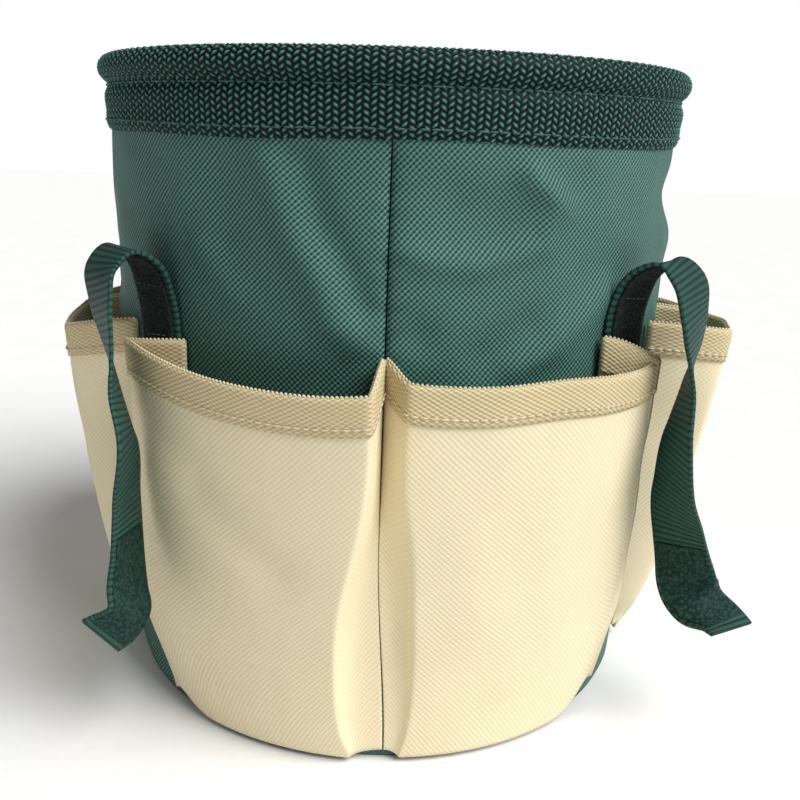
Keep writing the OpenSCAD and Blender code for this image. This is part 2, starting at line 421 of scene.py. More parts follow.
@dataclass
class Surface:
    """A sheet of points in millimetres with its weave coordinates, one row after another.

    The first index runs along u and the second along v; u cross v points out of the right side.
    """

    points: np.ndarray
    u_mm: np.ndarray
    v_mm: np.ndarray
    closed: bool = False

    def normals(self) -> np.ndarray:
        """Unit directions out of the right side, one for each point."""
        along_u = np.gradient(self.points, axis=0)
        if self.closed:
            along_u = (np.roll(self.points, -1, axis=0) - np.roll(self.points, 1, axis=0)) / 2
        cross = np.cross(along_u, np.gradient(self.points, axis=1))
        return cross / np.maximum(np.linalg.norm(cross, axis=-1, keepdims=True), 1e-9)

    def piece(self, name: str, finish: Finish, thickness: float = 0, side: float = -1) -> bpy.types.Object:
        """Makes the Blender object.

        Args:
            name: the piece's name.
            finish: what it is made of.
            thickness: of the cloth, in millimetres; 0 leaves the sheet single.
            side: which way the cloth grows from the sheet, from -1, inwards, to 1.

        Returns:
            The new mesh object, in metres.
        """
        n, m = self.points.shape[:2]
        around = n if self.closed else n - 1
        i, j = (x.ravel() for x in np.meshgrid(np.arange(around), np.arange(m - 1), indexing="ij"))
        k = (i + 1) % n
        faces = np.stack([i * m + j, k * m + j, k * m + j + 1, i * m + j + 1], 1)
        piece = mesh_object(name, self.points, faces.tolist(), finish)
        u = np.broadcast_to(self.u_mm, (around + 1, m))
        v = np.broadcast_to(self.v_mm, (around + 1, m))
        corners = [(i, j), (i + 1, j), (i + 1, j + 1), (i, j + 1)]
        weave = np.stack([np.stack([u[a, b], v[a, b]], -1) for a, b in corners], 1) * MM
        piece.data.uv_layers[UV_NAME].data.foreach_set("uv", weave.astype(np.float32).ravel())
        if thickness:
            solid = piece.modifiers.new("cloth thickness", "SOLIDIFY")
            solid.thickness, solid.offset = thickness * MM, side
        return piece


@dataclass(frozen=True)
class Fold:
    """A soft ridge in cloth where its height is positive, or a valley where it is negative."""

    path: Knots
    height: float
    width: float

    def lift(self, angle: np.ndarray, z: np.ndarray, radius: float = 126.0) -> np.ndarray:
        """How far the cloth moves out, in millimetres.

        Args:
            angle: places round the bag, in degrees.
            z: their heights, in millimetres.
            radius: of the cloth, to turn angles into distances.

        Returns:
            The fold's height at every place.
        """
        scale = math.radians(1) * radius
        nearest = np.full(np.broadcast(angle, z).shape, np.inf)
        starts, ends = (self.path[:-1], self.path[1:]) if len(self.path) > 1 else (self.path, self.path)
        for (a0, z0), (a1, z1) in zip(starts, ends):
            x = ((angle - a0 + 180) % 360 - 180) * scale
            dx, dz = (a1 - a0) * scale, z1 - z0
            t = np.clip((x * dx + (z - z0) * dz) / max(dx * dx + dz * dz, 1e-9), 0, 1)
            nearest = np.minimum(nearest, (x - t * dx) ** 2 + (z - z0 - t * dz) ** 2)
        return self.height * np.exp(-nearest / self.width**2)


@dataclass(frozen=True)
class Stitches:
    """A row of lockstitches, each a small thread arch that sinks into the cloth at both ends."""

    length: float = 2.8
    gap: float = 0.7
    radius: float = 0.38

    def piece(self, name: str, line: np.ndarray, out: np.ndarray, finish: Finish) -> bpy.types.Object:
        """Makes one mesh of all the stitches along a line.

        Args:
            name: the piece's name.
            line: points on the cloth, in millimetres.
            out: the unit direction out of the cloth at each point.
            finish: the thread.

        Returns:
            The new mesh object.
        """
        travelled = lengths(line)
        pitch = self.length + self.gap
        starts = np.arange(self.gap, travelled[-1] - self.length, pitch)
        rings, sides = 6, 6
        share = np.linspace(0, 1, rings)
        arch, thick = np.sin(np.pi * share), np.sin(np.pi * (0.06 + 0.88 * share)) ** 0.5
        at = starts[:, None] + share[None, :] * self.length
        centre = np.stack([np.interp(at, travelled, line[:, k]) for k in range(3)], -1)
        up = np.stack([np.interp(at, travelled, out[:, k]) for k in range(3)], -1)
        along = np.gradient(centre, axis=1)
        side = np.cross(along, up)
        side /= np.maximum(np.linalg.norm(side, axis=-1, keepdims=True), 1e-9)
        centre = centre + up * (self.radius * (arch * 0.9 - 0.25))[None, :, None]
        turn = np.linspace(0, 2 * np.pi, sides, endpoint=False)
        ring = (
            side[:, :, None] * np.cos(turn)[None, None, :, None] + up[:, :, None] * np.sin(turn)[None, None, :, None]
        ) * (self.radius * thick)[None, :, None, None]
        points = (centre[:, :, None] + ring).reshape(-1, 3)
        faces = []
        for s in range(len(starts)):
            base = s * rings * sides
            for r in range(rings - 1):
                for q in range(sides):
                    a, b = base + r * sides + q, base + r * sides + (q + 1) % sides
                    faces.append((a, b, b + sides, a + sides))
            faces.append(tuple(base + q for q in reversed(range(sides))))
            faces.append(tuple(base + (rings - 1) * sides + q for q in range(sides)))
        return mesh_object(name, points, faces, finish)


def settle(
    piece: bpy.types.Object, slot: str, *nodes: str, body: str = "bag"
) -> bpy.types.Object:
    """Rides a piece on a body, names its slot, and lets it stand for CAD nodes.

    Args:
        piece: the new piece.
        slot: the record's material slot; not used.
        nodes: the CAD nodes that it stands for.
        body: the CAD body that it moves with.

    Returns:
        The same piece.
    """
    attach(piece, body)
    if nodes:
        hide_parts(*nodes)
    LOG.info("%s rides on %s", piece.name, body)
    return piece


# --- Body ------------------------------------------------------------------


@dataclass
class BagBody:
    """The bucket of two cloth panels, its seams, its stiff base and its sprung rim."""

    top_radius: float = 125.3
    base_radius: float = 122.5
    belly: float = 2.0
    band_z: float = 246.0
    top_z: float = 264.5
    low_z: float = 0.4
    cloth: float = 1.6
    front_folds: tuple[Fold, ...] = (
        Fold(((-20.8, 243), (-16.2, 216), (-11.2, 199), (-8.5, 184), (-5, 179)), 2.6, 7),
        Fold(((-14.5, 243), (-11, 219), (-6.5, 203), (-3.6, 190)), -2.4, 6),
        Fold(((-37.1, 238), (-37.4, 222)), 1.2, 6),
        Fold(((-33, 207), (-26, 191)), 1.4, 6),
        Fold(((-29, 238), (-27, 212)), -1.2, 8),
        Fold(((11, 223), (18, 219)), -2.6, 13),
        Fold(((1.5, 211), (7, 206), (14.5, 205), (26, 212), (28, 226), (23, 236)), 2.0, 5),
        Fold(((22.2, 236), (30, 225)), 1.3, 5),
        Fold(((33, 233),), -1.4, 8),
        Fold(((40, 191), (31, 178), (23, 165)), 2.4, 7),
        Fold(((24, 181), (17, 172)), -2.0, 9),
        Fold(((5.5, 180),), -1.8, 7),
        Fold(((62, 227), (92, 227), (120, 224)), -2.6, 9),
        Fold(((66, 207), (92, 206), (118, 206)), 1.6, 8),
    )
    random_folds: int = 26

    def __post_init__(self) -> None:
        """Draws the folds of the sides and the back, the same on every run."""
        rng = np.random.default_rng(7)
        drawn = []
        for _ in range(self.random_folds):
            angle, z, lean = rng.uniform(56, 304), rng.uniform(178, 238), rng.uniform(-9, 9)
            drop = rng.uniform(10, 34)
            height = rng.choice([-1, 1]) * rng.uniform(0.8, 1.9)
            drawn.append(Fold(((angle, z), (angle + lean, z - drop)), height, rng.uniform(5, 9)))
        self.folds = (*self.front_folds, *drawn)

    def plain_radius(self, z: np.ndarray) -> np.ndarray:
        """Radius of the wall's outer face without its folds."""
        t = np.clip(np.asarray(z, float) / self.band_z, 0, 1)
        return self.base_radius + (self.top_radius - self.base_radius) * t + self.belly * np.sin(np.pi * t)

    def radius(self, angle: np.ndarray, z: np.ndarray) -> np.ndarray:
        """Radius of the wall's outer face.

        Args:
            angle: places round the bag, in degrees.
            z: their heights.

        Returns:
            The radius with folds, seam valleys and the rounded foot.
        """
        r = self.plain_radius(z)
        soft = step(z, self.band_z + 2, self.band_z - 8) * step(z, 150, 176)
        r = r + soft * sum(fold.lift(angle, z) for fold in self.folds)
        r = r + 0.35 * soft_noise(3, angle * 2.2, z, 26) * step(z, self.band_z, self.band_z - 12)
        for seam in (0, 180):
            off = ((angle - seam + 180) % 360 - 180) * 2.2
            pucker = 0.35 * np.sin(z * 2 * np.pi / 9.0 + 1.3 * np.sin(z / 17.0))
            pucker = pucker * np.exp(-((off / 5) ** 2)) * step(z, 135, 165)
            valley = 2.0 * np.exp(-np.abs(off) / 2.4)
            r = r + (pucker - valley) * step(z, self.band_z + 6, self.band_z - 6)
        return r - 2.6 * step(z, 7, self.low_z) ** 2

    def panel(self, name: str, start: float) -> bpy.types.Object:
        """Builds one half of the wall, with both long edges turned in at the seams.

        Args:
            name: left or right.
            start: the angle of the seam where the panel begins.

        Returns:
            The panel.
        """
        half_gap, closed_gap = 0.12, 0.02
        turned_in = np.array([7.5, 6.0, 4.5, 3.0, 1.8, 0.9, 0.35])
        spread = np.linspace(half_gap, 180 - half_gap, 200)
        z = np.linspace(self.low_z, self.top_z, 150)
        angle = start + np.concatenate([np.full(7, half_gap), spread, np.full(7, 180 - half_gap)])
        inward = np.concatenate([turned_in, np.zeros(200), turned_in[::-1]])
        allowance = step(z, 8, 16) * step(z, 255, 249)
        centre = start + 90
        widening = (90 - closed_gap) / (90 - half_gap) - 1
        angle, z = angle[:, None], z[None, :]
        angle = centre + (angle - centre) * (1 + widening * step(z, 240, 252))
        radius = self.radius(angle, z) - inward[:, None] * (0.1 + 0.9 * allowance[None, :])
        wide = np.concatenate([[0], np.cumsum(np.abs(np.diff(inward)) + np.diff(angle[:, 0]) * 2.2)])
        sheet = Surface(polar(angle, radius, z), wide[:, None], z)
        return settle(
            sheet.piece(f"body_panel_{name}_cloth", BODY_OXFORD, self.cloth), "body_fabric", f"body_panel_{name}"
        )

    def seam_tape(self, name: str, at: float) -> bpy.types.Object:
        """Builds the tape that is folded over the turned-in edges of one upright seam.

        Args:
            name: front or back.
            at: the seam's angle.

        Returns:
            The tape.
        """
        z = np.linspace(14, 247, 120)[None, :]
        outline = ((1.5, -3.0), (1.75, -6.5), (1.8, -9.5), (1.2, -11.4), (0.0, -12.0))
        side = [*outline, *((-x, y) for x, y in reversed(outline[:-1]))]
        x, y = (np.array(column)[:, None] for column in zip(*side))
        x = x + 0.35 * np.sin(z / 11.0) + 0.2 * np.sin(z / 4.3)
        r = self.plain_radius(z) + y
        turn = np.degrees(x / r)
        sheet = Surface(polar(at + turn, r, z), lengths(np.array(side))[:, None], z)
        return settle(
            sheet.piece(f"{name}_seam_tape", SEAM_TAPE, 0.7, -1), "seam_tape", f"{name}_seam_binding"
        )

    def ring(self, profile: list[tuple[float, float]], rough: float, seed: int) -> Surface:
        """Turns a section round the bag's axis with a little unevenness.

        Args:
            profile: radii and heights of the section.
            rough: how uneven it is, in millimetres.
            seed: which unevenness.

        Returns:
            A closed surface.
        """
        angle = np.linspace(0, 360, 240, endpoint=False)[:, None]
        r, z = (np.array(column, float)[None, :] for column in zip(*profile))
        wave = rough * soft_noise(seed, r * np.sin(np.radians(angle)), r * np.cos(np.radians(angle)), 40)
        return Surface(
            polar(angle, r, z + wave),
            np.concatenate([angle, [[360]]]) * 2.1, lengths(np.array(profile))[None, :], closed=True,
        )

    def base(self) -> None:
        """Builds the base panel, the lining over its board, and the tape on the base seam."""
        edge = self.base_radius - 1.9
        foot = [(0.3, 1.1), *((r, 1.1 - 0.5 * (r / edge) ** 2) for r in np.linspace(8, edge - 5, 22))]
        foot += [(edge - 2.6, 0.75), (edge - 1.0, 1.3), (edge - 0.3, 2.4), (edge, 4.2), (edge, 6.0)]
        foot = [(r, z - 0.35) for r, z in foot]
        settle(
            self.ring(foot[::-1], 0.12, 11).piece("base_panel_cloth", BASE_OXFORD, 1.2, -1),
            "body_fabric", "base_panel",
        )
        cover = [(edge - 2.4, 4.6), (edge - 3.0, 5.3)]
        cover += [(r, 5.35 + 0.25 * math.sin(r / 21.0)) for r in np.linspace(edge - 6, 8, 22)] + [(0.3, 5.5)]
        settle(self.ring(cover, 0.3, 12).piece("base_lining_cloth", BASE_OXFORD, 0.6, -1), "lining", "base_lining")
        bead = [
            (edge - 1.8 + 1.7 * math.sin(a), 7.6 - 1.5 * math.cos(a)) for a in np.linspace(0, 2 * np.pi, 15)
        ]
        settle(
            self.ring(bead, 0.1, 13).piece("base_seam_tape", SEAM_TAPE), "seam_tape", "base_seam_binding"
        )

    def rim(self) -> None:
        """Builds the webbing that is folded over the hoop, in relief, with its two stitch rows."""
        centre_r, centre_z, roll = 124.5, 270.5, 5.35
        out_r, in_r = 127.7, 121.8
        low, inner_low = self.band_z, 254.0
        leg = [
            (out_r - 2.8, low + 0.9), (out_r - 2.0, low - 0.1), (out_r - 1.2, low + 1.2), (out_r - 0.5, low + 8),
            (out_r - 0.2, low + 14.5), (out_r - 1.4, 264.4),
        ]
        over = [
            (centre_r + roll * math.cos(a), centre_z + roll * math.sin(a))
            for a in np.radians(np.linspace(-42, 205, 13))
        ]
        inside = [
            (in_r + 0.2, 265.0), (in_r - 0.1, 261), (in_r - 0.2, 256), (in_r + 0.3, inner_low), (in_r + 1.6, 254.6),
        ]
        knots = np.array([*leg, *over, *inside])
        at = lengths(knots)
        rows, count = 104, 1600
        along = np.linspace(0, at[-1], rows)
        r = smooth(tuple(zip(at, knots[:, 0])), along)
        z = smooth(tuple(zip(at, knots[:, 1])), along)
        angle = np.linspace(0, 360, count, endpoint=False)
        columns = 2 * round(np.pi * self.top_radius / RIM_WEBBING.column_mm)
        around = np.linspace(0, columns * RIM_WEBBING.column_mm, count + 1)
        sheet = Surface(polar(angle[:, None], r[None, :], z[None, :]), around[:, None], along[None, :], closed=True)
        crest = RIM_WEBBING.crest(around[:-1, None], along[None, :])
        wave = soft_noise(5, angle[:, None] * 2.2, along[None, :], 60) * step(along, 26, 12)[None, :]
        sheet.points += sheet.normals() * (0.6 * crest - 0.3 + 0.45 * wave)[..., None]
        sheet.points[..., 2] += 0.5 * np.sin(np.radians(angle) * 5 + 1)[:, None] * step(along, 20, 2)[None, :]
        for name, first, last in (("outer", 0, 38), ("roll", 38, 76), ("inner", 76, rows - 1)):
            part = Surface(
                sheet.points[:, first : last + 1], sheet.u_mm, sheet.v_mm[:, first : last + 1], closed=True
            )
            nodes = ("rim_binding",) if name == "outer" else ()
            settle(part.piece(f"rim_webbing_{name}", RIM_WEBBING), "rim_webbing", *nodes)
        out = sheet.normals()
        for name, share in (("low", 5.2), ("high", 19.6)):
            row = int(np.argmin(np.abs(along - share)))
            line = np.concatenate([sheet.points[:, row], sheet.points[:1, row]])
            up = np.concatenate([out[:, row], out[:1, row]])
            settle(
                Stitches(length=3.2, gap=1.0, radius=0.4).piece(f"rim_stitches_{name}", line, up, GREEN_THREAD),
                "rim_webbing",
            )

    def build(self) -> None:
        """Builds the whole body and dresses the two hidden CAD parts."""
        self.panel("right", 0)
        self.panel("left", 180)
        self.seam_tape("front", 0)
        self.seam_tape("back", 180)
        self.base()
        self.rim()
        for node, finish in (("base_board", BOARD), ("rim_hoop", HOOP)):
            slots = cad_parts[node].data.materials
            slots.clear()
            slots.append(finish.material())


# --- Pockets ---------------------------------------------------------------


class Hand(Enum):
    """Which way a pocket lies from the seam that it shares with its neighbour."""

    WITH_ANGLE = 1
    AGAINST_ANGLE = -1


@dataclass
class BellowsPocket:
    """One canvas pocket: a face that stands out from the wall, and a gusset folded in at each side.

    Angles are measured from the shared seam. The mouth's heights are those of the seam, the
    inner fold, the middle, the outer fold and the outer attachment. swing is how far the foot has
    slewed round, in degrees, and corner how high its outer corner is drawn up.
    """

    name: str
    seam: float
    hand: Hand
    inner_fold: Knots
    outer_fold: Knots
    attachment: Knots
    depth: tuple[float, float, float]
    mouth: tuple[float, float, float, float, float]
    dents: tuple[Fold, ...] = ()
    seed: int = 1
    floor_z: float = 2.6
    canvas: float = 1.2
    tape_h: float = 13.0
    swing: float = 0.0
    corner: float = 6.5
    rows: int = 90
    counts: tuple[int, int, int] = (22, 84, 20)
    reach: float = 168.0
    fullness: float = 0.6
    sewn_off: float = 1.7

    def section(self, body: BagBody, z: np.ndarray) -> np.ndarray:
        """The pocket's plan at a row of heights.

        Args:
            body: the wall that it is sewn to.
            z: nominal heights of the rows.

        Returns:
            Angle from the seam and radius, for every place along the plan and every row.
        """
        swell = np.clip(z / self.reach, 0, None) ** self.fullness
        wall = body.plain_radius(z)
        inner_r, outer_r = wall + self.depth[0] * swell + 1.6, wall + self.depth[2] * swell + 1.6
        inner_a = np.degrees(np.arcsin(smooth(self.inner_fold, z) / inner_r))
        outer_a, end_a = smooth(self.outer_fold, z), smooth(self.attachment, z)
        n0, n1, n2 = self.counts
        s = np.linspace(0, 1, n0, endpoint=False)[:, None]
        tuck = step(z, 120, 60)[None, :] * 0.8
        lip = step(z, 120, 150)[None, :] * 0.5
        bend = s ** (1 + 2.2 * tuck)
        gusset_a = 0.05 + (inner_a - 0.05)[None, :] * (s + (1 - s) * s * 0.9 * tuck)
        dip = 1.6 * (1 - s) ** 6 * step(z, 100, 140)[None, :]
        gusset_r = wall[None, :] + 0.9 + (inner_r - wall - 0.9)[None, :] * bend - dip
        t = np.linspace(0, 1, n1, endpoint=False)[:, None]
        face_a = inner_a[None, :] + (outer_a - inner_a)[None, :] * t
        crown = (self.depth[1] - (self.depth[0] + self.depth[2]) / 2) * np.sin(np.pi * t) * swell[None, :]
        face_r = inner_r[None, :] + (outer_r - inner_r)[None, :] * t + crown
        face_r = np.maximum(face_r, wall[None, :] + 2.4)
        w = np.linspace(0, 1, n2)[:, None]
        back_a = outer_a[None, :] + (end_a - outer_a)[None, :] * w
        back_r = outer_r[None, :] + (wall + self.sewn_off - outer_r)[None, :] * (w ** (1 + 0.6 * tuck + lip))
        back_r = np.maximum(back_r, wall[None, :] + self.sewn_off)
        return np.stack([np.concatenate([gusset_a, face_a, back_a]), np.concatenate([gusset_r, face_r, back_r])])

    def sheet(self, body: BagBody) -> Surface:
        """The canvas as one sheet from the shared seam to the outer attachment.

        Args:
            body: the wall that it is sewn to.

        Returns:
            The pocket's outer face.
        """
        share = np.linspace(0, 1, self.rows)
        nominal = self.floor_z + (self.reach - self.floor_z) * share
        angle, r = self.section(body, nominal)
        n0, n1, n2 = self.counts
        place = np.arange(n0 + n1 + n2, dtype=float)
        stops = (0, n0, n0 + n1 / 2, n0 + n1, n0 + n1 + n2 - 1)
        top = smooth(tuple(zip(stops, self.mouth)), place)[:, None]
        raised = 2.6 * step(place, n0, 0) + self.corner * step(place, n0 + 0.66 * n1, n0 + n1) ** 2
        foot = self.floor_z + raised[:, None]
        z = foot + (top - foot) * share[None, :]
        world = self.seam + self.hand.value * angle + self.swing * step(z, 100, self.floor_z)
        lift = sum(dent.lift(world, z) for dent in self.dents) if self.dents else 0.0
        free = step(share, 0.0, 0.25)[None, :] * np.sin(np.pi * np.clip(place / place[-1], 0, 1))[:, None] ** 0.5
        r = r + (0.55 * soft_noise(self.seed, place[:, None] * 1.5, z, 34) + lift) * free
        points = polar(world, r, z)
        evened = (points[:-2] + 2 * points[1:-1] + points[2:]) / 4
        points = np.concatenate([points[:1], evened, points[-1:]])
        wide = lengths(points[:, int(self.rows * 0.7)])
        if self.hand is Hand.AGAINST_ANGLE:
            points, wide = points[::-1], wide[::-1]
        return Surface(points, wide[:, None], z[n0 + n1 // 2][None, :])

    def tape(self, face: Surface) -> tuple[Surface, np.ndarray, np.ndarray]:
        """The tape folded over the mouth.

        Args:
            face: the pocket's outer face.

        Returns:
            The tape's surface, and the line and outward directions of its stitches.
        """
        out = face.normals()
        top, top_out = face.points[:, -1], out[:, -1]
        down = face.points[:, -2] - top
        down /= np.linalg.norm(down, axis=1, keepdims=True)
        tall = np.linalg.norm(face.points[:, -1] - face.points[:, 0], axis=1)
        step_v = tall / (self.rows - 1)
        drops = np.linspace(self.tape_h, 0.6, 9)
        rows = []
        for drop in drops:
            back = np.clip(self.rows - 1 - drop / step_v, 0, self.rows - 1)
            low = np.minimum(np.floor(back).astype(int), self.rows - 2)
            t = (back - low)[:, None]
            index = np.arange(len(top))
            at = face.points[index, low] * (1 - t) + face.points[index, low + 1] * t
            rows.append((at, out[index, low]))
        edge = 0.75
        outer = [p + n * edge for p, n in rows]
        inner = [p - n * (edge + self.canvas) for p, n in reversed(rows)]
        middle = top - top_out * self.canvas / 2
        arch = [
            middle + top_out * (edge + self.canvas / 2) * math.cos(a) - down * 1.3 * math.sin(a)
            for a in np.radians((25, 60, 90, 120, 155))
        ]
        points = np.stack([*outer, *arch, *inner], 1)
        across = lengths(points[len(points) // 2])
        stitch = int(np.argmin(np.abs(drops - 9.6)))
        return Surface(points, face.u_mm, across[None, :]), outer[stitch] + rows[stitch][1] * 0.15, rows[stitch][1]

    def build(self, body: BagBody) -> None:
        """Builds the canvas, the mouth tape and its stitches, on the wall of the body."""
        face = self.sheet(body)
        settle(
            face.piece(f"pocket_{self.name}_canvas", POCKET_CANVAS, self.canvas), "pocket_canvas",
            f"pocket_{self.name}",
        )
        tape, line, out = self.tape(face)
        settle(tape.piece(f"tape_{self.name}_grosgrain", MOUTH_TAPE, 0.6), "pocket_tape", f"tape_{self.name}")
        settle(Stitches().piece(f"tape_{self.name}_stitches", line, out, CREAM_THREAD), "pocket_tape")
        top, up = tape.points[:, tape.points.shape[1] // 2], tape.normals()[:, tape.points.shape[1] // 2]
        loops = Stitches(length=1.5, gap=0.15, radius=0.5)
        settle(loops.piece(f"tape_{self.name}_picots", top, up, CREAM_THREAD), "pocket_tape")


def pockets() -> list[BellowsPocket]:
    """The eight pockets, in four pairs. The two at the front slump most, as the bag stands empty."""
    splayed: Knots = ((4, 13), (25, 17), (50, 21), (100, 25), (168, 26.5))
    splayed_end: Knots = ((4, 15), (25, 21), (50, 28), (100, 34), (168, 37.5))
    close: Knots = ((3, 7), (45, 9), (100, 7), (168, 4))
    return [
        BellowsPocket(
            "front_left", 0, Hand.AGAINST_ANGLE,
            ((3, 13.6), (15, 16.5), (50, 17.5), (75, 15), (100, 10), (135, 4.5), (168, 4)),
            ((4, 46.5), (43, 53), (97, 49.4), (166, 46.7)), ((4, 46), (25, 46), (60, 42), (168, 36.4)),
            (24.5, 18.8, 11), (170.5, 164, 162.5, 167.5, 169.5),
            (Fold(((-29, 116), (-16, 92)), -1.8, 9), Fold(((-38, 140), (-30, 126)), -0.9, 9)), seed=21, swing=2.0,
        ),
        BellowsPocket(
            "front_right", 0, Hand.WITH_ANGLE,
            ((3, 6.5), (15, 8.8), (45, 12), (70, 13), (100, 13), (130, 9), (168, 9)),
            ((4, 50), (46, 54), (100, 52.5), (165, 50.6)), ((4, 49), (25, 48.5), (60, 44), (168, 40.6)),
            (11.5, 15.5, 13), (170.5, 165, 165, 165.5, 175), seed=22, swing=2.2, corner=11.0,
        ),
        BellowsPocket(
            "side_left_fore", -90, Hand.WITH_ANGLE, close, splayed, splayed_end,
            (19, 21, 22), (167, 164, 162, 166, 171.5), seed=23,
        ),
        BellowsPocket(
            "side_right_fore", 90, Hand.AGAINST_ANGLE, close,
            ((4, 10), (25, 14), (50, 18), (100, 22), (168, 23)),
            ((4, 12), (25, 19), (50, 25), (100, 29), (168, 31)),
            (26, 30, 31), (171, 169, 170, 172, 175), seed=24,
        ),
        BellowsPocket(
            "side_left_aft", -90, Hand.AGAINST_ANGLE, close, ((4, 35), (45, 40), (100, 39.5), (168, 38)),
            ((4, 34.5), (25, 34), (168, 33)), (20, 22, 15), (167, 164, 163, 167, 170), seed=25,
        ),
        BellowsPocket(
            "side_right_aft", 90, Hand.WITH_ANGLE, ((3, 9), (45, 13), (100, 10), (168, 6)),
            ((4, 35), (45, 40), (100, 38.5), (168, 37)), ((4, 34.5), (25, 34), (168, 32.5)),
            (24, 25, 15), (171, 168, 166, 168, 171), seed=26,
        ),
        BellowsPocket(
            "rear_right", 180, Hand.AGAINST_ANGLE,
            ((3, 10), (15, 13), (50, 15), (100, 11), (168, 6)), ((4, 38), (46, 44), (100, 43.5), (165, 42)),
            ((4, 37.5), (25, 37), (168, 35.5)), (19, 20, 13), (170.5, 165, 163, 166, 170),
            (Fold(((155, 120), (164, 90)), -1.2, 9),), seed=27,
        ),
        BellowsPocket(
            "rear_left", 180, Hand.WITH_ANGLE,
            ((3, 8), (15, 11), (50, 13), (100, 12), (168, 8)), ((4, 39), (46, 45), (100, 43), (165, 41)),
            ((4, 38.5), (25, 38), (168, 35.5)), (16, 18, 14), (170.5, 166, 164, 166, 171), seed=28,
        ),
    ]


# --- Straps ----------------------------------------------------------------


@dataclass(frozen=True)
class Station:
    """A place on a strap: its centre beside the bag, and how its width lies there.

    turn is the azimuth that the width faces across, and tilt how far the width leans from level.
    """

    angle: float
    radius: float
    height: float
    turn: float
    tilt: float = 0.0

    def centre(self) -> np.ndarray:
        """The centre, in millimetres."""
        return polar(self.angle, self.radius, self.height)

    def width(self) -> np.ndarray:
        """The unit direction across the strap."""
        turn, tilt = math.radians(self.turn), math.radians(self.tilt)
        return np.array([math.cos(turn) * math.cos(tilt), math.sin(turn) * math.cos(tilt), math.sin(tilt)])


